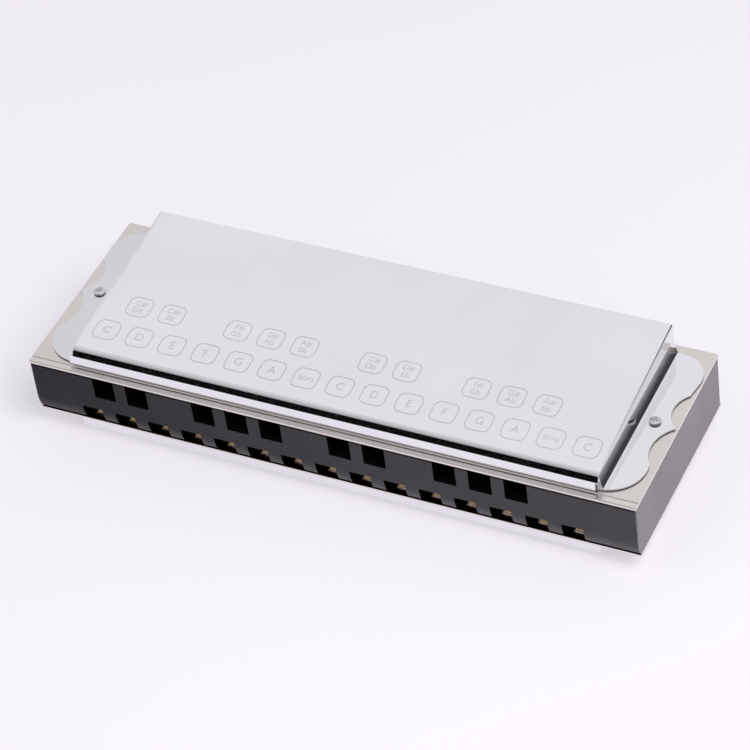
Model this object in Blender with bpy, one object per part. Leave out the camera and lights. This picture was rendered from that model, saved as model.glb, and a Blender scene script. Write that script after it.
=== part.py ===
"""Bass harmonica with twenty-five blown notes in one body: fifteen naturals below, ten sharps above.

Working frame: x runs along the row of holes from the low notes to the high ones, y runs from the
mouth face to the back, and z = 0 is the top of the upper reed plate. A parent empty then tips
this frame until the lower cover's deck lies flat on the ground, as the instrument rests.
"""

from math import atan2, cos, pi, radians, sin, sqrt, tan

import bmesh
import bpy
from mathutils import Matrix, Vector

# Comb, the moulded body that holds the air chambers
hole_pitch = 0.01406
natural_count = 15
low_end_block = 0.02416
high_end_block = 0.0254
comb_depth = 0.0830
comb_height = 0.0232
comb_corner_radius = 0.0006
face_curve_radius = 0.0160
face_curve_turn = radians(22)
face_edge_radius = 0.0012

# Mouth holes and the chambers behind them
natural_hole_width = 0.0086
natural_hole_height = 0.0070
sharp_hole_width = 0.0090
sharp_hole_height = 0.0098
chamber_tail = 0.0035

# Reed plates
plate_thickness = 0.0015
plate_lip_depth = 0.0028
plate_lip_drop = 0.0004
plate_lip_edge = 0.0003
lower_plate_setback = 0.0012

# Reeds, each riveted at the back with its weighted tip by the mouth
longest_reed = 0.0640
shortest_reed = 0.0440
reed_width = 0.0048
reed_thickness = 0.0005
reed_tip_setback = 0.0047
natural_reed_shift = 0.0009
sharp_reed_shift = 0.0
pad_width = 0.0056
pad_length = 0.0060
pad_thickness = 0.0010
weight_width = 0.0036
weight_length = 0.0080
weight_height = 0.0012
weight_chamfer = 0.0004
solder_inset = 0.0001
slot_clearance = 0.00035

# Rivets
rivet_shank_radius = 0.0008
rivet_head_radius = 0.0016
rivet_crown_radius = 0.0010
rivet_head_height = 0.0006

# Covers, pressed from sheet
sheet = 0.0006
deck_front_height = 0.0072957
deck_back_height = 0.0143
cover_foot = 0.0026
cover_back_setback = 0.0043
front_wall_gap = 0.0005
front_wall_height = 0.0044
front_wall_lean = radians(8)
front_lean = radians(28)
front_bend_radius = 0.0032
wide_flange = 0.0181
narrow_flange = 0.0154
end_fold_radius = 0.0010
end_flare_height = 0.0070
end_flare_reach = 0.0015
end_flare_bow = 0.36
front_wall_overhang = 0.0015
corner_slit = 0.0009
corner_slit_height = 0.0040

# Scalloped edge of a cover's flange: how far each point lies in from the comb's end, and its y
scallop_back_corner = (0.0100, 0.0782)
scallop_back_shoulder = (0.0026, 0.0738)
scallop_back_lobe = (0.0004, 0.0662)
scallop_back_turn = (0.0016, 0.0585)
scallop_back_waist = (0.0050, 0.0505)
scallop_point = (0.0005, 0.0410)
scallop_front_waist = (0.0057, 0.0310)
scallop_front_turn = (0.0029, 0.0210)
scallop_front_shoulder = (0.0050, 0.0100)
scallop_front_corner = (0.0148, 0.0041)

# Cover screws
screw_inset = 0.0087
screw_y = 0.0416
screw_head_radius = 0.0023
screw_head_height = 0.0009
screw_crown_radius = 0.0014
screw_shoulder_radius = 0.0021
screw_shoulder_height = 0.00065
screw_rim_height = 0.00027
screw_shank_radius = 0.0012
screw_length = 0.0095
screw_slot_width = 0.0006
screw_slot_depth = 0.0005
screw_slot_reach = 0.0014

# Clearances
seat_gap = 0.0003
hole_clearance = 0.0003
cut_margin = 0.0010

# Facets on round shapes
small_sides = 10
head_sides = 24
arc_steps = 4
bend_steps = 8
flare_steps = 10
scallop_steps = 12
fold_steps = 6
sharp_edge_angle = radians(18)
same_place = 1e-7

# Values that follow from the ones above
comb_length = low_end_block + (natural_count - 1) * hole_pitch + high_end_block
comb_top = -plate_thickness - seat_gap
comb_bottom = comb_top - comb_height
lower_plate_top = comb_bottom - seat_gap
lower_plate_bottom = lower_plate_top - plate_thickness
cover_back = comb_depth - cover_back_setback
deck_slope = (deck_back_height - deck_front_height) / cover_back
deck_angle = atan2(deck_slope, 1.0)
sheet_bite = sheet / 2
flare_bite = sheet / 6
slit_overrun = sheet / 4
chamber_end = reed_tip_setback + longest_reed + pad_length / 2 + chamber_tail
rivet_hole_radius = rivet_shank_radius + hole_clearance
screw_hole_radius = screw_shank_radius + hole_clearance

# A natural that has a sharp after it, by its place in the octave that starts on C
naturals_with_sharp = (0, 1, 3, 4, 5)
natural_places = [float(index) for index in range(natural_count)]
sharp_places = [index + 0.5 for index in range(natural_count - 1) if index % 7 in naturals_with_sharp]


def clear_scene():
    for item in list(bpy.data.objects):
        bpy.data.objects.remove(item, do_unlink=True)


def make_material(name, colour, metallic, roughness):
    material = bpy.data.materials.new(name)
    material.use_nodes = True
    shader = material.node_tree.nodes["Principled BSDF"]
    shader.inputs["Base Color"].default_value = (*colour, 1.0)
    shader.inputs["Metallic"].default_value = metallic
    shader.inputs["Roughness"].default_value = roughness
    material.diffuse_color = (*colour, 1.0)
    return material


def make_object(name, shape):
    """Turn a bmesh into an object whose faces all point outwards."""
    bmesh.ops.recalc_face_normals(shape, faces=shape.faces)
    mesh = bpy.data.meshes.new(name)
    shape.to_mesh(mesh)
    shape.free()
    made = bpy.data.objects.new(name, mesh)
    bpy.context.scene.collection.objects.link(made)
    return made


def finish(made, material, parent):
    made.data.materials.clear()
    made.data.materials.append(material)
    made.data.shade_smooth()
    made.data.set_sharp_from_angle(angle=sharp_edge_angle)
    made.parent = parent
    return made


def add_prism(shape, outline, low, high, place):
    """Add an outline swept from low to high, where place turns (a, b, sweep) into (x, y, z)."""
    near = [shape.verts.new(place(a, b, low)) for a, b in outline]
    far = [shape.verts.new(place(a, b, high)) for a, b in outline]
    shape.faces.new(near)
    shape.faces.new(list(reversed(far)))
    for index in range(len(outline)):
        following = (index + 1) % len(outline)
        shape.faces.new((near[index], far[index], far[following], near[following]))


def along_x(a, b, sweep):
    return (sweep, a, b)


def along_y(a, b, sweep):
    return (a, sweep, b)


def along_z(a, b, sweep):
    return (a, b, sweep)


def prism(name, outline, low, high, place):
    shape = bmesh.new()
    add_prism(shape, outline, low, high, place)
    return make_object(name, shape)


def rectangle(low_a, high_a, low_b, high_b):
    return [(low_a, low_b), (high_a, low_b), (high_a, high_b), (low_a, high_b)]


def add_box(shape, low, high):
    add_prism(shape, rectangle(low[0], high[0], low[1], high[1]), low[2], high[2], along_z)


def circle(radius, sides, centre=(0.0, 0.0)):
    steps = [2 * pi * (index + 0.5) / sides for index in range(sides)]
    return [(centre[0] + radius * cos(turn), centre[1] + radius * sin(turn)) for turn in steps]


def arc(start, middle, end, steps):
    """Points on the circle through three points, from start to end with both included."""
    ax, ay = start
    bx, by = middle
    cx, cy = end
    double = 2 * (ax * (by - cy) + bx * (cy - ay) + cx * (ay - by))
    a_square = ax * ax + ay * ay
    b_square = bx * bx + by * by
    c_square = cx * cx + cy * cy
    centre_x = (a_square * (by - cy) + b_square * (cy - ay) + c_square * (ay - by)) / double
    centre_y = (a_square * (cx - bx) + b_square * (ax - cx) + c_square * (bx - ax)) / double
    radius = sqrt((ax - centre_x) ** 2 + (ay - centre_y) ** 2)
    first = atan2(ay - centre_y, ax - centre_x)
    passing = (atan2(by - centre_y, bx - centre_x) - first) % (2 * pi)
    turn = (atan2(cy - centre_y, cx - centre_x) - first) % (2 * pi)
    if passing > turn:
        turn -= 2 * pi
    turns = [first + turn * index / steps for index in range(steps + 1)]
    return [(centre_x + radius * cos(angle), centre_y + radius * sin(angle)) for angle in turns]


def add_turned(shape, profile, sides):
    """Add a solid of revolution about z. The profile runs from its top to its bottom."""
    rings = []
    for radius, height in profile:
        rings.append([shape.verts.new((px, py, height)) for px, py in circle(radius, sides)])
    shape.faces.new(rings[0])
    shape.faces.new(list(reversed(rings[-1])))
    for upper, lower in zip(rings, rings[1:]):
        for index in range(sides):
            following = (index + 1) % sides
            shape.faces.new((upper[index], upper[following], lower[following], lower[index]))


def combine(target, tool, operation):
    """Apply a Boolean of the tool to the target and delete the tool."""
    modifier = target.modifiers.new(operation, "BOOLEAN")
    modifier.operation = operation
    modifier.object = tool
    graph = bpy.context.evaluated_depsgraph_get()
    mesh = bpy.data.meshes.new_from_object(target.evaluated_get(graph))
    target.modifiers.clear()
    target.data = mesh
    bpy.data.objects.remove(tool, do_unlink=True)


def hole_x(place):
    return low_end_block + place * hole_pitch


def reed_length(place):
    """A reed's length from its rivet to its tip, shorter towards the high notes."""
    return longest_reed - (longest_reed - shortest_reed) * place / (natural_count - 1)


def rivet_y(place):
    return reed_tip_setback + reed_length(place)


def mouth_face():
    """The mouth face's lower edge, from its top: a slow curve that draws back, then a tight one."""
    slow = face_curve_radius
    tight = face_edge_radius
    middle_y = slow * (1 - cos(face_curve_turn))
    middle_z = comb_bottom + tight * (1 - sin(face_curve_turn))
    start_z = middle_z + slow * sin(face_curve_turn)
    points = []
    for index in range(arc_steps):
        angle = face_curve_turn * index / arc_steps
        points.append((slow * (1 - cos(angle)), start_z - slow * sin(angle)))
    for index in range(arc_steps + 1):
        angle = face_curve_turn + (pi / 2 - face_curve_turn) * index / arc_steps
        y = middle_y + tight * (cos(face_curve_turn) - cos(angle))
        points.append((y, middle_z - tight * (sin(angle) - sin(face_curve_turn))))
    return points


def build_comb():
    """The comb: a block cut by chambers that open at the mouth face, all of one length."""
    outline = [(comb_depth, comb_top), (0.0, comb_top), *mouth_face(), (comb_depth, comb_bottom)]
    shape = bmesh.new()
    add_prism(shape, outline, 0.0, comb_length, along_x)
    upright = [edge for edge in shape.edges if stands_upright(edge)]
    bmesh.ops.bevel(shape, geom=upright, offset=comb_corner_radius, segments=2, affect="EDGES", profile=0.5)
    comb = make_object("comb", shape)
    cutter = bmesh.new()
    half = sharp_hole_width / 2
    for place in sharp_places:
        low = (hole_x(place) - half, -cut_margin, comb_top - sharp_hole_height)
        add_box(cutter, low, (hole_x(place) + half, chamber_end, comb_top + cut_margin))
    half = natural_hole_width / 2
    for place in natural_places:
        low = (hole_x(place) - half, -cut_margin, comb_bottom - cut_margin)
        add_box(cutter, low, (hole_x(place) + half, chamber_end, comb_bottom + natural_hole_height))
    for x in screw_places():
        add_prism(cutter, circle(screw_hole_radius, small_sides, (x, screw_y)),
                  comb_top - screw_length, comb_top + cut_margin, along_z)
        add_prism(cutter, circle(screw_hole_radius, small_sides, (x, screw_y)),
                  comb_bottom - cut_margin, comb_bottom + screw_length, along_z)
    combine(comb, make_object("comb_cutter", cutter), "DIFFERENCE")
    return comb


def stands_upright(edge):
    first, second = (vert.co for vert in edge.verts)
    return abs(first.x - second.x) < same_place and abs(first.y - second.y) < same_place


def screw_places():
    return (screw_inset, comb_length - screw_inset)


def build_plate(name, inner, outer, front, places, shift):
    """A reed plate with a stepped lip at the mouth, one slot and one rivet hole per reed.

    inner is the z of the face on the comb, outer the z of the face under the cover, front its y.
    """
    away = 1.0 if outer > inner else -1.0
    lip = outer - away * plate_lip_drop
    outline = [
        (front, inner),
        (front, lip - away * plate_lip_edge),
        (front + plate_lip_edge, lip),
        (plate_lip_depth - plate_lip_drop, lip),
        (plate_lip_depth, outer),
        (comb_depth, outer),
        (comb_depth, inner),
    ]
    plate = prism(name, outline, 0.0, comb_length, along_x)
    low = min(inner, outer) - cut_margin
    high = max(inner, outer) + cut_margin
    cutter = bmesh.new()
    half = reed_width / 2 + slot_clearance
    for place in places:
        x = hole_x(place) + shift
        slot_end = rivet_y(place) - pad_length / 2 - slot_clearance
        add_box(cutter, (x - half, reed_tip_setback - slot_clearance, low), (x + half, slot_end, high))
        add_prism(cutter, circle(rivet_hole_radius, small_sides, (x, rivet_y(place))), low, high, along_z)
    for x in screw_places():
        add_prism(cutter, circle(screw_hole_radius, small_sides, (x, screw_y)), low, high, along_z)
    combine(plate, make_object(name + "_cutter", cutter), "DIFFERENCE")
    return plate


def build_reed(name, length):
    """A reed seen from above, tip towards -y, with its origin on the rivet's axis at mid-thickness."""
    under = -reed_thickness / 2
    half_pad = pad_length / 2
    outline = [
        (-reed_width / 2, -length),
        (reed_width / 2, -length),
        (reed_width / 2, -half_pad),
        (pad_width / 2, -half_pad),
        (pad_width / 2, half_pad),
        (-pad_width / 2, half_pad),
        (-pad_width / 2, -half_pad),
        (-reed_width / 2, -half_pad),
    ]
    reed = prism(name, outline, under, under + reed_thickness, along_z)
    inset = solder_inset
    pad = bmesh.new()
    low = (-pad_width / 2 + inset, -half_pad + inset, under + inset)
    add_box(pad, low, (pad_width / 2 - inset, half_pad - inset, under + pad_thickness))
    combine(reed, make_object(name + "_pad", pad), "UNION")
    top = under + reed_thickness + weight_height
    side = [
        (-length + inset, under + inset),
        (-length + inset, top - weight_chamfer),
        (-length + inset + weight_chamfer, top),
        (-length + weight_length - weight_chamfer, top),
        (-length + weight_length, top - weight_chamfer),
        (-length + weight_length, under + inset),
    ]
    weight = prism(name + "_weight", side, -weight_width / 2, weight_width / 2, along_x)
    combine(reed, weight, "UNION")
    hole = prism(name + "_hole", circle(rivet_hole_radius, small_sides), -cut_margin,
                 pad_thickness + cut_margin, along_z)
    combine(reed, hole, "DIFFERENCE")
    return reed


def build_rivet_mesh():
    """A rivet standing on the outer face of a plate, with z = 0 at the middle of a reed's thickness."""
    pad_top = pad_thickness - reed_thickness / 2
    plate_outer = -reed_thickness / 2 - seat_gap - plate_thickness
    crown = rivet_head_height / 2
    top = pad_top + seat_gap
    bottom = plate_outer - seat_gap
    profile = [
        (rivet_crown_radius, top + rivet_head_height),
        (rivet_head_radius, top + crown),
        (rivet_head_radius, top),
        (rivet_shank_radius, top),
        (rivet_shank_radius, bottom),
        (rivet_head_radius, bottom),
        (rivet_head_radius, bottom - crown),
        (rivet_crown_radius, bottom - rivet_head_height),
    ]
    shape = bmesh.new()
    add_turned(shape, profile, small_sides)
    return make_object("rivet_pattern", shape)


def deck_height(y):
    return deck_back_height - deck_slope * (cover_back - y)


def front_crease():
    """Where the steep front wall ends and the strip above it starts to lean back further."""
    return (cover_foot + (front_wall_height - front_wall_gap) * tan(front_wall_lean), front_wall_height)


def front_bend(inset):
    """The bend from the leaning strip up to the deck, drawn in by inset, from its foot to its top."""
    crease_y, crease_z = front_crease()
    lean_reach = -cos(front_lean) * crease_y + sin(front_lean) * crease_z - front_bend_radius
    deck_reach = cos(deck_angle) * deck_height(0.0) - front_bend_radius
    spread = cos(front_lean + deck_angle)
    centre_y = (deck_reach * sin(front_lean) - lean_reach * cos(deck_angle)) / spread
    centre_z = (deck_reach * cos(front_lean) - lean_reach * sin(deck_angle)) / spread
    radius = front_bend_radius - inset
    start = pi - front_lean
    turn = pi / 2 + deck_angle - start
    angles = [start + turn * index / bend_steps for index in range(bend_steps + 1)]
    return [(centre_y + radius * cos(angle), centre_z + radius * sin(angle)) for angle in angles]


def cover_outline():
    """The cover's outside in the y-z plane, with z = 0 on the reed plate it sits on."""
    beyond = cover_back + cut_margin
    return [
        (beyond, seat_gap),
        (inner_wall_y(front_wall_gap), seat_gap),
        (inner_wall_y(front_wall_gap), front_wall_gap),
        (cover_foot, front_wall_gap),
        front_crease(),
        *front_bend(0.0),
        (beyond, deck_height(beyond)),
    ]


def inner_wall_y(z):
    """The y of the front wall's inside at a height."""
    return cover_foot + sheet / cos(front_wall_lean) + (z - front_wall_gap) * tan(front_wall_lean)


def inner_crease():
    """The front crease on the inside of the sheet."""
    crease_y, crease_z = front_crease()
    inward = sheet / (1 + cos(front_lean - front_wall_lean))
    return (crease_y + inward * (cos(front_lean) + cos(front_wall_lean)),
            crease_z - inward * (sin(front_lean) + sin(front_wall_lean)))


def cover_hollow():
    """What is hollow under the deck, in the y-z plane, open below and at the back."""
    beyond = cover_back + 2 * cut_margin
    below = seat_gap - cut_margin
    return [
        (beyond, below),
        (inner_wall_y(below), below),
        inner_crease(),
        *front_bend(sheet),
        (beyond, deck_height(beyond) - sheet / cos(deck_angle)),
    ]


def scallop():
    """The flange's edge, as (distance in from the comb's end, y), from back to front."""
    back_lobe = arc(scallop_back_corner, scallop_back_shoulder, scallop_back_lobe, scallop_steps)
    back_waist = arc(scallop_back_turn, scallop_back_waist, scallop_point, scallop_steps)
    front_waist = arc(scallop_point, scallop_front_waist, scallop_front_turn, scallop_steps)
    front_lobe = arc(scallop_front_turn, scallop_front_shoulder, scallop_front_corner, scallop_steps)
    return back_lobe + back_waist + front_waist[1:] + front_lobe[1:]


def add_flange(shape, wall):
    """One end's flange, from its scalloped edge to a little way into the wall at x = wall."""
    edge = scallop()
    inside = wall + sheet_bite
    outline = [*edge, (inside, edge[-1][1]), (inside, edge[0][1])]
    add_prism(shape, outline, seat_gap, seat_gap + sheet, along_z)


def flare_curve(wall):
    """The end wall's outside where it flares out to its flange, from its top to its foot."""
    foot = seat_gap + sheet / 2
    start = (wall + flare_bite, foot + end_flare_height)
    middle = (wall - end_flare_reach * end_flare_bow, foot + end_flare_height / 2)
    return arc(start, middle, (wall - end_flare_reach, foot), flare_steps)


def build_end_flare(name, wall):
    """The lower end wall, which leans out towards its flange."""
    curve = flare_curve(wall)
    inside = wall + sheet_bite
    outline = [(inside, curve[-1][1]), (inside, curve[0][1]), *curve]
    front = scallop_front_corner[1] + sheet_bite
    return prism(name, outline, front, cover_back + cut_margin, along_y)


def build_flare_hollow(name, wall):
    """What is hollow behind the flare: its curve drawn in and down by the sheet, behind the front bend."""
    curve = [(x, z - sheet) for x, z in flare_curve(wall + sheet)]
    inside = wall + 2 * sheet
    below = seat_gap - cut_margin
    outline = [(inside, below), (inside, curve[0][1]), *curve, (curve[-1][0], below)]
    front = front_bend(sheet)[-1][0]
    return prism(name, outline, front, cover_back + 2 * cut_margin, along_y)


def build_front_overhang(name, wall):
    """The front wall's end, which laps over the corner of the low end wall."""
    outline = [
        (cover_foot, front_wall_gap),
        front_crease(),
        inner_crease(),
        (inner_wall_y(front_wall_gap), front_wall_gap),
    ]
    return prism(name, outline, wall - front_wall_overhang, wall + sheet_bite, along_x)


def is_end_fold(edge):
    """True on the edges where the deck and the bend before it turn down into an end wall."""
    first, second = (vert.co for vert in edge.verts)
    on_one_end = abs(first.x - second.x) < same_place
    above_lean = min(first.z, second.z) > front_bend(0.0)[0][1] - 10 * same_place
    return on_one_end and above_lean and min(first.y, second.y) < cover_back


def build_cover(name):
    """A cover over the upper reed plate: deck, front, end walls and flanges, all one pressed sheet."""
    walls = (wide_flange, comb_length - narrow_flange)
    shape = bmesh.new()
    add_prism(shape, cover_outline(), walls[0], walls[1], along_x)
    folds = [edge for edge in shape.edges if is_end_fold(edge)]
    bmesh.ops.bevel(shape, geom=folds, offset=end_fold_radius, segments=fold_steps, affect="EDGES",
                    profile=0.5)
    cover = make_object(name, shape)
    low_flange = bmesh.new()
    add_flange(low_flange, walls[0])
    combine(cover, make_object(name + "_low_flange", low_flange), "UNION")
    high_flange = bmesh.new()
    add_flange(high_flange, comb_length - walls[1])
    mirror = Matrix.Translation(Vector((comb_length, 0, 0))) @ Matrix.Diagonal((-1, 1, 1, 1))
    bmesh.ops.transform(high_flange, matrix=mirror, verts=high_flange.verts)
    combine(cover, make_object(name + "_high_flange", high_flange), "UNION")
    combine(cover, build_end_flare(name + "_low_flare", walls[0]), "UNION")
    high_flare = build_end_flare(name + "_high_flare", comb_length - walls[1])
    high_flare.data.transform(mirror)
    high_flare.data.flip_normals()
    combine(cover, high_flare, "UNION")
    combine(cover, build_front_overhang(name + "_front_overhang", walls[0]), "UNION")
    hollow = prism(name + "_hollow", cover_hollow(), walls[0] + sheet, walls[1] - sheet, along_x)
    combine(cover, hollow, "DIFFERENCE")
    combine(cover, build_flare_hollow(name + "_low_hollow", walls[0]), "DIFFERENCE")
    high_hollow = build_flare_hollow(name + "_high_hollow", comb_length - walls[1])
    high_hollow.data.transform(mirror)
    high_hollow.data.flip_normals()
    combine(cover, high_hollow, "DIFFERENCE")
    trims = bmesh.new()
    for x in screw_places():
        add_prism(trims, circle(screw_hole_radius, small_sides, (x, screw_y)), -cut_margin,
                  seat_gap + sheet + cut_margin, along_z)
    far_y = max(cover_back, scallop_back_corner[1]) + 2 * cut_margin
    add_box(trims, (0.0, cover_back, -cut_margin), (comb_length, far_y, deck_back_height + cut_margin))
    slit_end = (walls[1] + slit_overrun, inner_wall_y(corner_slit_height) + slit_overrun, corner_slit_height)
    add_box(trims, (walls[1] - corner_slit, cover_foot - cut_margin, -cut_margin), slit_end)
    combine(cover, make_object(name + "_trims", trims), "DIFFERENCE")
    return cover


def build_screw_mesh():
    """A cross-recess pan-head screw pointing down, with z = 0 under its head."""
    profile = [
        (screw_crown_radius, screw_head_height),
        (screw_shoulder_radius, screw_shoulder_height),
        (screw_head_radius, screw_rim_height),
        (screw_head_radius, 0.0),
        (screw_shank_radius, 0.0),
        (screw_shank_radius, -screw_length + screw_shank_radius),
        (screw_shank_radius / 2, -screw_length),
    ]
    shape = bmesh.new()
    add_turned(shape, profile, head_sides)
    screw = make_object("screw_pattern", shape)
    reach = screw_slot_reach
    half = screw_slot_width / 2
    cross = [
        (-reach, -half), (-half, -half), (-half, -reach), (half, -reach), (half, -half), (reach, -half),
        (reach, half), (half, half), (half, reach), (-half, reach), (-half, half), (-reach, half),
    ]
    low = screw_head_height - screw_slot_depth
    recess = prism("screw_recess", cross, low, screw_head_height + cut_margin, along_z)
    combine(screw, recess, "DIFFERENCE")
    return screw


def place_reeds(kind, places, shift, plate_inner, facing, parent, reed_metal, rivet_metal, rivet_mesh):
    """Put one reed and one rivet on a plate for each place. facing is +1 up or -1 down."""
    mid = plate_inner + facing * (seat_gap + reed_thickness / 2)
    turn = 0.0 if facing > 0 else pi
    for number, place in enumerate(places, 1):
        where = Vector((hole_x(place) + shift, rivet_y(place), mid))
        reed = finish(build_reed(f"reed_{kind}_{number:02d}", reed_length(place)), reed_metal, parent)
        rivet = bpy.data.objects.new(f"rivet_{kind}_{number:02d}", rivet_mesh)
        bpy.context.scene.collection.objects.link(rivet)
        rivet.parent = parent
        for item in (reed, rivet):
            item.location = where
            item.rotation_euler = (0.0, turn, 0.0)


def place_screws(parent, mesh):
    """Two screws through the upper cover and two through the lower one."""
    head_seat = seat_gap + sheet + seat_gap
    rows = (("upper", head_seat, 0.0), ("lower", lower_plate_bottom - head_seat, pi))
    for row, height, turn in rows:
        for side, x in zip(("low", "high"), screw_places()):
            screw = bpy.data.objects.new(f"{row}_cover_screw_{side}_end", mesh)
            bpy.context.scene.collection.objects.link(screw)
            screw.parent = parent
            screw.location = (x, screw_y, height)
            screw.rotation_euler = (turn, 0.0, 0.0)


def rest_on_ground(parent):
    """Tip the frame onto the lower deck and centre it over the origin."""
    parent.rotation_euler = (deck_angle, 0.0, 0.0)
    bpy.context.view_layer.update()
    corners = [
        item.matrix_world @ vert.co
        for item in bpy.context.scene.objects
        if item.type == "MESH"
        for vert in item.data.vertices
    ]
    low = [min(corner[axis] for corner in corners) for axis in range(3)]
    high = [max(corner[axis] for corner in corners) for axis in range(3)]
    parent.location = (-(low[0] + high[0]) / 2, -(low[1] + high[1]) / 2, -low[2])
    bpy.context.view_layer.update()


def build_harmonica():
    clear_scene()
    black_plastic = make_material("black_plastic", (0.035, 0.034, 0.040), 0.0, 0.38)
    nickel_sheet = make_material("nickel_sheet", (0.78, 0.78, 0.80), 1.0, 0.14)
    plate_metal = make_material("plate_metal", (0.66, 0.57, 0.47), 1.0, 0.26)
    reed_brass = make_material("reed_brass", (0.72, 0.50, 0.20), 1.0, 0.28)
    rivet_metal = make_material("rivet_brass", (0.66, 0.49, 0.24), 1.0, 0.35)
    screw_steel = make_material("screw_steel", (0.60, 0.60, 0.62), 1.0, 0.22)

    frame = bpy.data.objects.new("harmonica_frame", None)
    bpy.context.scene.collection.objects.link(frame)
    finish(build_comb(), black_plastic, frame)
    upper_plate = build_plate("upper_reed_plate", -plate_thickness, 0.0, 0.0, sharp_places,
                              sharp_reed_shift)
    finish(upper_plate, plate_metal, frame)
    lower_plate = build_plate("lower_reed_plate", lower_plate_top, lower_plate_bottom,
                              lower_plate_setback, natural_places, natural_reed_shift)
    finish(lower_plate, plate_metal, frame)

    finish(build_cover("upper_cover"), nickel_sheet, frame)
    lower_cover = finish(build_cover("lower_cover"), nickel_sheet, frame)
    lower_cover.rotation_euler = (0.0, pi, 0.0)
    lower_cover.location = (comb_length, 0.0, lower_plate_bottom)

    rivet_pattern = finish(build_rivet_mesh(), rivet_metal, None)
    place_reeds("sharp", sharp_places, sharp_reed_shift, -plate_thickness, -1, frame, reed_brass,
                rivet_metal, rivet_pattern.data)
    place_reeds("natural", natural_places, natural_reed_shift, lower_plate_top, 1, frame, reed_brass,
                rivet_metal, rivet_pattern.data)
    bpy.data.objects.remove(rivet_pattern, do_unlink=True)

    screw_pattern = finish(build_screw_mesh(), screw_steel, None)
    place_screws(frame, screw_pattern.data)
    bpy.data.objects.remove(screw_pattern, do_unlink=True)
    rest_on_ground(frame)


build_harmonica()
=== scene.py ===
"""Looks of the bass harmonica: finishes for its solids, the engraved note labels, camera and light.

Places are given in the instrument's own frame: x along the holes, y to the back and z = 0 on the
upper reed plate. The instrument lies tipped on its lower cover, and to_world makes that turn.
"""

from math import atan2, cos, pi, sin

import bmesh
import bpy
from mathutils import Matrix, Vector


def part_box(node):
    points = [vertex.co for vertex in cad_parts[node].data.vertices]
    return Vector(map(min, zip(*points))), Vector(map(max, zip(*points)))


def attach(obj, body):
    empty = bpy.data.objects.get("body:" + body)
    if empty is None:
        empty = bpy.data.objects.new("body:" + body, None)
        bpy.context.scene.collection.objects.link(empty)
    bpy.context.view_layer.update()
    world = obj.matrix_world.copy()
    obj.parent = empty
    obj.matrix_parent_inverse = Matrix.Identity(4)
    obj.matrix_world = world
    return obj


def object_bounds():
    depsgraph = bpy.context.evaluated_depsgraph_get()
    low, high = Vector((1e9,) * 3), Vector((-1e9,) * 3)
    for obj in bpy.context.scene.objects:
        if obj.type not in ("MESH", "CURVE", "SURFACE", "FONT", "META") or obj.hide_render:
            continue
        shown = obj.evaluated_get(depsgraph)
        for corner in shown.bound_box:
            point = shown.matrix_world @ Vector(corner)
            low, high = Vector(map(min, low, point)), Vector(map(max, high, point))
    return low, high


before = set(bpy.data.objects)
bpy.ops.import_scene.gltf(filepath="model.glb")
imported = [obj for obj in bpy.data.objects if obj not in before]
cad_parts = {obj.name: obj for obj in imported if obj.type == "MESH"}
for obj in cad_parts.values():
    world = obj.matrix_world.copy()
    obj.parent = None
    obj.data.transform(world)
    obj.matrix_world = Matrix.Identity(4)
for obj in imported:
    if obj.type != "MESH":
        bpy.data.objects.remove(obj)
cad_low, cad_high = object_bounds()

# Sizes shared with the solids
comb_depth = 0.0830
comb_drop = 0.0018
comb_height = 0.0232
deck_back_height = 0.0143
deck_back = 0.0787
deck_slope = 0.0890
natural_count = 15
# Depths of the comb's outer faces, and of the band of painted shade under the upper plate's lip
mouth_face_depth = 0.0030
end_face_depth = 0.0004
lip_shade_depth = 0.0007

# Note labels on the upper deck
label_first_x = 0.0267
label_pitch = 0.0140
label_row_drift = 0.0001
natural_label_y = 0.0164
sharp_label_y = 0.0304
label_width = 0.0101
label_depth = 0.0096
label_corner = 0.0028
label_line = 0.00042
label_rise = 0.00003
naturals_with_sharp = (0, 1, 3, 4, 5)
octave = ("C", "D", "E", "F", "G", "A", "B(H)")
sharps = {0: ("C#", "Db"), 1: ("D#", "Eb"), 3: ("F#", "Gb"), 4: ("G#", "Ab"), 5: ("A#", "Bb")}

# Camera, in the instrument's frame
camera_place = Vector((0.58234, -0.73502, 0.82958))
camera_right = Vector((0.90363, 0.41411, -0.10936))
camera_down = Vector((0.21305, -0.65608, -0.72399))
camera_lens = 157.7
camera_sensor = 36.0

# What polished metal mirrors: greys by height above the floor, and a dark card at the high end
room_greys = ((-0.1, 0.002), (0.0, 0.004), (0.1, 0.40), (0.325, 0.50), (0.42, 0.60), (0.684, 0.69),
              (0.82, 0.73), (0.88, 0.89), (1.0, 0.90))
card_greys = ((0.86, 1.0), (0.95, 0.08))
room_tint = (1.0, 1.0, 1.035, 1.0)

tilt = atan2(deck_slope, 1.0)
turn = Matrix.Rotation(tilt, 4, "X")


def frame_to_world():
    """The turn and shift that put the instrument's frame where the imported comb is."""
    low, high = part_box("comb")
    bottom = -comb_drop - comb_height
    shift_y = high.y - (comb_depth * cos(tilt) - bottom * sin(tilt))
    shift_z = high.z - (comb_depth * sin(tilt) - comb_drop * cos(tilt))
    return Matrix.Translation((low.x, shift_y, shift_z)) @ turn


to_world = frame_to_world()


def new_material(name):
    material = bpy.data.materials.new(name)
    material.use_nodes = True
    nodes = material.node_tree.nodes
    return material, nodes, material.node_tree.links, nodes["Principled BSDF"]


def noise(nodes, links, scale, detail, stretch=(1.0, 1.0, 1.0)):
    """A noise texture in the object's own space, in metres, drawn out along each axis by stretch."""
    place = nodes.new("ShaderNodeTexCoord")
    mapping = nodes.new("ShaderNodeMapping")
    mapping.inputs["Scale"].default_value = stretch
    texture = nodes.new("ShaderNodeTexNoise")
    texture.inputs["Scale"].default_value = scale
    texture.inputs["Detail"].default_value = detail
    links.new(place.outputs["Object"], mapping.inputs["Vector"])
    links.new(mapping.outputs["Vector"], texture.inputs["Vector"])
    return texture


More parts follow.
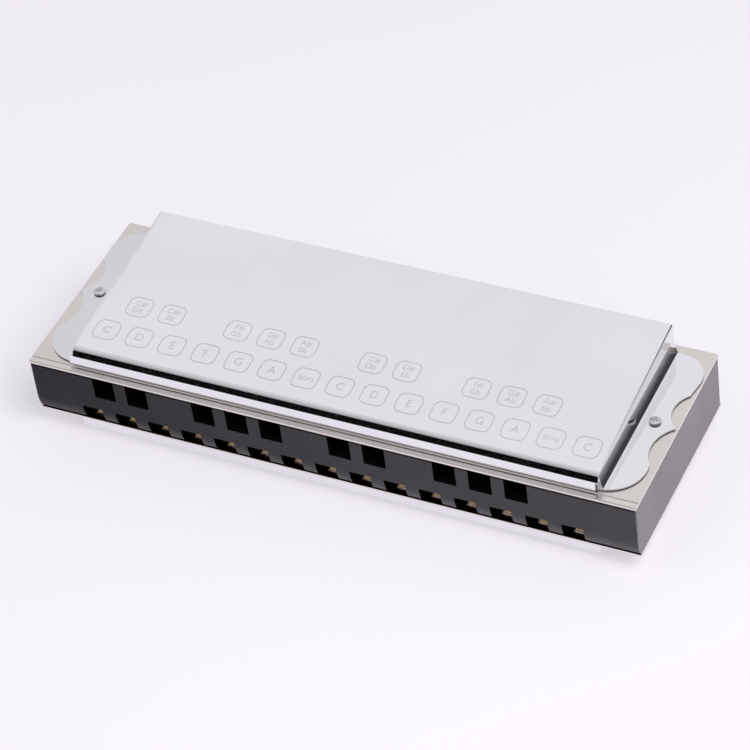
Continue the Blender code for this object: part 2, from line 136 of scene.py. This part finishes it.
def ramp(nodes, links, source, low, high, low_at=0.3, high_at=0.7):
    """A ramp from one colour or grey level to another."""
    node = nodes.new("ShaderNodeValToRGB")
    node.color_ramp.elements[0].position = low_at
    node.color_ramp.elements[1].position = high_at
    node.color_ramp.elements[0].color = (*low, 1.0) if isinstance(low, tuple) else (low, low, low, 1.0)
    node.color_ramp.elements[1].color = (*high, 1.0) if isinstance(high, tuple) else (high, high, high, 1.0)
    links.new(source, node.inputs["Fac"])
    return node


def graded(nodes, links, source, low, high, stops):
    """Greys at given places of a value between low and high, joined by straight ramps."""
    spread = nodes.new("ShaderNodeMapRange")
    spread.inputs["From Min"].default_value = low
    spread.inputs["From Max"].default_value = high
    links.new(source, spread.inputs["Value"])
    node = nodes.new("ShaderNodeValToRGB")
    elements = node.color_ramp.elements
    while len(elements) < len(stops):
        elements.new(1.0)
    for element, (place, grey) in zip(elements, stops):
        element.position = (place - low) / (high - low)
        element.color = (grey, grey, grey, 1.0)
    links.new(spread.outputs["Result"], node.inputs["Fac"])
    return node


def along(nodes, links, source, direction):
    """How far a vector reaches along a direction."""
    node = nodes.new("ShaderNodeVectorMath")
    node.operation = "DOT_PRODUCT"
    node.inputs[1].default_value = direction
    links.new(source, node.inputs[0])
    return node.outputs["Value"]


def calculate(nodes, links, operation, first, second):
    """A sum, product or comparison of two values, each a socket or a number."""
    node = nodes.new("ShaderNodeMath")
    node.operation = operation
    for slot, value in enumerate((first, second)):
        if isinstance(value, float):
            node.inputs[slot].default_value = value
        else:
            links.new(value, node.inputs[slot])
    return node.outputs[0]


def mix_colours(nodes, links, share, first, second):
    """A blend of two colours by a grey share: 0 gives the first, 1 the second."""
    node = nodes.new("ShaderNodeMix")
    node.data_type = "RGBA"
    links.new(share, node.inputs["Factor"])
    links.new(first, node.inputs[6])
    links.new(second, node.inputs[7])
    return node.outputs[2]


def add_bump(nodes, links, shader, source, strength, distance):
    bump = nodes.new("ShaderNodeBump")
    bump.inputs["Strength"].default_value = strength
    bump.inputs["Distance"].default_value = distance
    links.new(source, bump.inputs["Height"])
    links.new(bump.outputs["Normal"], shader.inputs["Normal"])


def speckled_metal(name, colours, roughness, grain, stretch, bump_depth, metallic=1.0):
    """A metal whose colour and roughness drift a little, with fine grain drawn out along one axis."""
    material, nodes, links, shader = new_material(name)
    shader.inputs["Metallic"].default_value = metallic
    drift = noise(nodes, links, 22.0, 3.0)
    tone = ramp(nodes, links, drift.outputs["Fac"], *colours)
    links.new(tone.outputs["Color"], shader.inputs["Base Color"])
    fine = noise(nodes, links, grain, 4.0, stretch)
    gloss = ramp(nodes, links, fine.outputs["Fac"], *roughness)
    links.new(gloss.outputs["Color"], shader.inputs["Roughness"])
    add_bump(nodes, links, shader, fine.outputs["Fac"], 0.15, bump_depth)
    return material


def paint_shade_inside(material, colour):
    """Paint shade on the face of a metal that looks up into the chambers, by mixing its colour to a dark one."""
    nodes = material.node_tree.nodes
    links = material.node_tree.links
    shader = nodes["Principled BSDF"]
    place = nodes.new("ShaderNodeTexCoord")
    up = turn @ Vector((0.0, 0.0, 1.0))
    inside = ramp(nodes, links, along(nodes, links, place.outputs["Normal"], up), 0.0, 1.0, 0.9, 0.97)
    painted_shade = nodes.new("ShaderNodeRGB")
    painted_shade.outputs["Color"].default_value = (*colour, 1.0)
    bright = shader.inputs["Base Color"].links[0].from_socket
    links.new(mix_colours(nodes, links, inside.outputs["Color"], bright, painted_shade.outputs["Color"]),
              shader.inputs["Base Color"])
    return material


def moulded_plastic():
    """Black moulded plastic, satin on its outer faces with a fine pebble; painted light and shade: the end faces
    greyed for the light they catch, the chambers and hole walls near black with no specular for their shade, and
    the mouth face's specular cut under the plate's lip and rising from left to right.
    """
    material, nodes, links, shader = new_material("black_moulded_plastic")
    place = nodes.new("ShaderNodeNewGeometry")
    to_face = turn @ Vector((0.0, -1.0, 0.0))
    face_reach = (to_world.translation + turn @ Vector((0.0, mouth_face_depth, 0.0))).dot(to_face)
    facing = along(nodes, links, place.outputs["Normal"], to_face)
    reach = along(nodes, links, place.outputs["Position"], to_face)
    sideways = along(nodes, links, place.outputs["Position"], (1.0, 0.0, 0.0))
    outward = calculate(nodes, links, "ABSOLUTE", sideways, 0.0)
    end = calculate(nodes, links, "GREATER_THAN", outward, cad_high.x - end_face_depth)
    front = calculate(nodes, links, "GREATER_THAN", reach, face_reach)
    mouth = calculate(nodes, links, "MULTIPLY", front, calculate(nodes, links, "GREATER_THAN", facing, 0.15))
    back = calculate(nodes, links, "LESS_THAN", facing, -0.5)
    outer_faces = calculate(nodes, links, "MAXIMUM", calculate(nodes, links, "MAXIMUM", mouth, back), end)
    # Painted shade under the upper plate's lip: the top band of the mouth face keeps a fifth of its specular, and
    # the chambers keep none
    to_plate = turn @ Vector((0.0, 0.0, 1.0))
    edge_reach = (to_world.translation + turn @ Vector((0.0, 0.0, -comb_drop - lip_shade_depth))).dot(to_plate)
    height = along(nodes, links, place.outputs["Position"], to_plate)
    painted_lip_shade = calculate(nodes, links, "MULTIPLY", mouth, calculate(nodes, links, "GREATER_THAN", height, edge_reach))
    unshaded_share = calculate(nodes, links, "SUBTRACT", outer_faces, calculate(nodes, links, "MULTIPLY", painted_lip_shade, 0.8))

    drift = noise(nodes, links, 35.0, 4.0)
    moulded = ramp(nodes, links, drift.outputs["Fac"], (0.006, 0.0055, 0.008), (0.013, 0.012, 0.016))
    # Painted light: the end faces get a grey that stands in for the light they catch
    painted_end_light = ramp(nodes, links, drift.outputs["Fac"], (0.12, 0.113, 0.12), (0.16, 0.15, 0.16))
    # Painted shade: the chambers and hole walls, all but the mouth, back and end faces, are near black
    painted_chamber_shade = ramp(nodes, links, drift.outputs["Fac"], (0.002, 0.002, 0.003), (0.004, 0.004, 0.005))
    outside = mix_colours(nodes, links, end, moulded.outputs["Color"], painted_end_light.outputs["Color"])
    links.new(mix_colours(nodes, links, outer_faces, painted_chamber_shade.outputs["Color"], outside), shader.inputs["Base Color"])
    # Painted reflection: the specular level rises along the row from the left end to the right one, standing in for
    # how the light falls
    painted_sheen_gradient = nodes.new("ShaderNodeMapRange")
    painted_sheen_gradient.inputs["From Min"].default_value = cad_low.x
    painted_sheen_gradient.inputs["From Max"].default_value = cad_high.x
    painted_sheen_gradient.inputs["To Min"].default_value = 0.13
    painted_sheen_gradient.inputs["To Max"].default_value = 0.52
    links.new(sideways, painted_sheen_gradient.inputs["Value"])
    shader.inputs["Specular IOR Level"].default_value = 0.3
    links.new(calculate(nodes, links, "MULTIPLY", painted_sheen_gradient.outputs["Result"], unshaded_share),
              shader.inputs["Specular IOR Level"])
    pebble = noise(nodes, links, 1400.0, 2.0)
    gloss = ramp(nodes, links, pebble.outputs["Fac"], 0.26, 0.38)
    links.new(gloss.outputs["Color"], shader.inputs["Roughness"])
    shader.inputs["IOR"].default_value = 1.53
    add_bump(nodes, links, shader, pebble.outputs["Fac"], 0.12, 0.00004)
    return material


def assign(node, material):
    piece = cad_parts[node]
    piece.data.materials.clear()
    piece.data.materials.append(material)


def rounded_ring(shape, centre, width, depth, corner, line, rise, to_surface):
    """A raised outline of a rounded rectangle, made as a closed band."""
    loops = []
    for inset, height in ((0.0, -rise), (0.0, rise), (line, rise), (line, -rise)):
        half_width = width / 2 - inset
        half_depth = depth / 2 - inset
        radius = max(corner - inset, line)
        points = []
        for quarter, (side_x, side_y) in enumerate(((1, 1), (-1, 1), (-1, -1), (1, -1))):
            for step in range(7):
                angle = pi / 2 * (quarter + step / 6)
                x = centre[0] + side_x * (half_width - radius) + radius * cos(angle)
                y = centre[1] + side_y * (half_depth - radius) + radius * sin(angle)
                points.append(shape.verts.new(to_surface @ Vector((x, y, height))))
        loops.append(points)
    for index, ring in enumerate(loops):
        following = loops[(index + 1) % len(loops)]
        for at in range(len(ring)):
            after = (at + 1) % len(ring)
            shape.faces.new((ring[at], ring[after], following[after], following[at]))


def add_text(shape, text, centre, height, to_surface):
    """Lettering as thin solid strokes standing on the surface, centred on a point."""
    curve = bpy.data.curves.new("label_text", "FONT")
    curve.body = text
    curve.size = height / 0.72
    curve.align_x = "CENTER"
    curve.align_y = "CENTER"
    curve.extrude = label_rise
    curve.resolution_u = 4
    curve.offset = -height * 0.012
    letter = bpy.data.objects.new("label_text", curve)
    bpy.context.scene.collection.objects.link(letter)
    bpy.context.view_layer.update()
    mesh = bpy.data.meshes.new_from_object(letter.evaluated_get(bpy.context.evaluated_depsgraph_get()))
    mesh.transform(to_surface @ Matrix.Translation((centre[0], centre[1], 0.0)))
    shape.from_mesh(mesh)
    bpy.data.objects.remove(letter, do_unlink=True)
    bpy.data.meshes.remove(mesh)


def deck_surface():
    """The upper deck's plane: x along the row, y measured level from the mouth face."""
    lift = deck_back_height - deck_slope * deck_back
    slope = Matrix.Identity(4)
    slope[2][1] = deck_slope
    return to_world @ Matrix.Translation((0.0, 0.0, lift)) @ slope


def build_labels(material):
    surface = deck_surface()
    shape = bmesh.new()
    for index in range(natural_count):
        x = label_first_x + index * label_pitch
        y = natural_label_y - index * label_row_drift
        rounded_ring(shape, (x, y), label_width, label_depth, label_corner, label_line, label_rise, surface)
        note = octave[index % 7]
        height = 0.0024 if len(note) > 1 else 0.0036
        add_text(shape, note, (x, y), height, surface)
        if index % 7 not in naturals_with_sharp or index == natural_count - 1:
            continue
        x += label_pitch / 2
        y = sharp_label_y - index * label_row_drift
        rounded_ring(shape, (x, y), label_width, label_depth, label_corner, label_line, label_rise, surface)
        upper, lower = sharps[index % 7]
        add_text(shape, upper, (x, y + 0.0017), 0.0026, surface)
        add_text(shape, lower, (x, y - 0.0017), 0.0026, surface)
    mesh = bpy.data.meshes.new("engraved_note_labels")
    shape.to_mesh(mesh)
    shape.free()
    mesh.materials.append(material)
    labels = bpy.data.objects.new("engraved_note_labels", mesh)
    bpy.context.scene.collection.objects.link(labels)
    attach(labels, "harmonica")


def build_camera():
    data = bpy.data.cameras.new("camera")
    data.lens = camera_lens
    data.sensor_width = camera_sensor
    data.clip_start = 0.05
    data.clip_end = 20.0
    camera = bpy.data.objects.new("camera", data)
    bpy.context.scene.collection.objects.link(camera)
    axes = Matrix((camera_right, -camera_down, camera_right.cross(-camera_down))).transposed()
    camera.matrix_world = to_world @ Matrix.Translation(camera_place) @ axes.to_4x4()
    bpy.context.scene.camera = camera


def build_floor():
    mesh = bpy.data.meshes.new("floor")
    reach = 4.0
    mesh.from_pydata([(-reach, -reach, 0), (reach, -reach, 0), (reach, reach, 0), (-reach, reach, 0)],
                     [], [(0, 1, 2, 3)])
    floor = bpy.data.objects.new("floor", mesh)
    bpy.context.scene.collection.objects.link(floor)
    material, nodes, links, shader = new_material("pale_floor")
    drift = noise(nodes, links, 3.0, 2.0)
    tone = ramp(nodes, links, drift.outputs["Fac"], (0.91, 0.88, 0.94), (0.93, 0.90, 0.96))
    links.new(tone.outputs["Color"], shader.inputs["Base Color"])
    shader.inputs["Roughness"].default_value = 0.9
    shader.inputs["Specular IOR Level"].default_value = 0.0
    glow = nodes.new("ShaderNodeEmission")
    glow.inputs["Color"].default_value = (0.955, 0.920, 0.980, 1.0)
    rays = nodes.new("ShaderNodeLightPath")
    seen = calculate(nodes, links, "MULTIPLY", rays.outputs["Is Camera Ray"], 0.45)
    mirrored = calculate(nodes, links, "MULTIPLY", rays.outputs["Is Glossy Ray"], 0.7)
    mix = nodes.new("ShaderNodeMixShader")
    links.new(calculate(nodes, links, "ADD", seen, mirrored), mix.inputs["Fac"])
    links.new(shader.outputs["BSDF"], mix.inputs[1])
    links.new(glow.outputs["Emission"], mix.inputs[2])
    links.new(mix.outputs["Shader"], nodes["Material Output"].inputs["Surface"])
    mesh.materials.append(material)


def build_world():
    """An even pale sky, in which metal sees a bright ceiling over a dark horizon."""
    world = bpy.data.worlds.new("studio")
    bpy.context.scene.world = world
    world.use_nodes = True
    nodes = world.node_tree.nodes
    links = world.node_tree.links
    background = nodes["Background"]
    background.inputs["Color"].default_value = (0.93, 0.92, 0.95, 1.0)
    background.inputs["Strength"].default_value = 0.48
    place = nodes.new("ShaderNodeTexCoord")
    ceiling = turn @ Vector((0.0, 0.35, 0.94))
    card = turn @ Vector((0.755, 0.624, 0.20))
    height = graded(nodes, links, along(nodes, links, place.outputs["Generated"], ceiling), -0.2, 1.0, room_greys)
    side = graded(nodes, links, along(nodes, links, place.outputs["Generated"], card), 0.0, 1.0, card_greys)
    grey = calculate(nodes, links, "MULTIPLY", height.outputs["Color"], side.outputs["Color"])
    tint = nodes.new("ShaderNodeRGB")
    tint.outputs["Color"].default_value = room_tint
    glossy = nodes.new("ShaderNodeBackground")
    links.new(tint.outputs["Color"], glossy.inputs["Color"])
    links.new(grey, glossy.inputs["Strength"])
    rays = nodes.new("ShaderNodeLightPath")
    mix = nodes.new("ShaderNodeMixShader")
    links.new(rays.outputs["Is Glossy Ray"], mix.inputs["Fac"])
    links.new(background.outputs["Background"], mix.inputs[1])
    links.new(glossy.outputs["Background"], mix.inputs[2])
    links.new(mix.outputs["Shader"], nodes["World Output"].inputs["Surface"])


def build_lamp(name, place, size, power):
    data = bpy.data.lights.new(name, "AREA")
    data.shape = "SQUARE"
    data.size = size
    data.energy = power
    lamp = bpy.data.objects.new(name, data)
    bpy.context.scene.collection.objects.link(lamp)
    lamp.location = place
    lamp.rotation_euler = (-Vector(place)).to_track_quat("-Z", "Y").to_euler()
    lamp.visible_glossy = False


nickel = speckled_metal("polished_nickel", ((0.80, 0.80, 0.82), (0.84, 0.84, 0.855)), (0.05, 0.09),
                        900.0, (1.0, 0.05, 1.0), 0.000004)
plate_metal = speckled_metal("plate_metal", ((0.74, 0.69, 0.66), (0.80, 0.75, 0.72)), (0.20, 0.30),
                             700.0, (0.04, 1.0, 1.0), 0.000004)
# Lower reed plate: the same metal, with painted shade darkening every face that looks up, seen in the holes and
# below the comb's front
shaded_lower_plate_metal = speckled_metal("shaded_lower_plate_metal", ((0.74, 0.69, 0.66), (0.80, 0.75, 0.72)), (0.20, 0.30),
                                   700.0, (0.04, 1.0, 1.0), 0.000004)
paint_shade_inside(shaded_lower_plate_metal, (0.03, 0.025, 0.02))
reed_brass = speckled_metal("reed_brass", ((0.92, 0.66, 0.38), (0.98, 0.74, 0.46)), (0.36, 0.48),
                            1500.0, (1.0, 0.1, 1.0), 0.00001, 0.3)
rivet_brass = speckled_metal("rivet_brass", ((0.66, 0.47, 0.20), (0.74, 0.56, 0.28)), (0.24, 0.38),
                             1200.0, (1.0, 1.0, 1.0), 0.00001)
screw_steel = speckled_metal("screw_steel", ((0.62, 0.62, 0.64), (0.74, 0.74, 0.76)), (0.12, 0.24),
                             1600.0, (1.0, 1.0, 1.0), 0.00001)
etched = speckled_metal("etched_line", ((0.60, 0.60, 0.63), (0.68, 0.68, 0.71)), (0.30, 0.42),
                        2500.0, (1.0, 1.0, 1.0), 0.00001)
plastic = moulded_plastic()

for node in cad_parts:
    if node == "comb":
        assign(node, plastic)
    elif node.endswith("cover"):
        assign(node, nickel)
    elif node == "lower_reed_plate":
        assign(node, shaded_lower_plate_metal)
    elif node == "upper_reed_plate":
        assign(node, plate_metal)
    elif node.startswith("reed"):
        assign(node, reed_brass)
    elif node.startswith("rivet"):
        assign(node, rivet_brass)
    else:
        assign(node, screw_steel)

build_labels(etched)
build_camera()
build_floor()
build_world()
build_lamp("key", (0.8, -0.4, 1.2), 0.9, 15.0)
build_lamp("fill", (-0.6, -0.8, 1.4), 1.2, 3.0)

scene = bpy.context.scene
scene.view_settings.view_transform = "Standard"
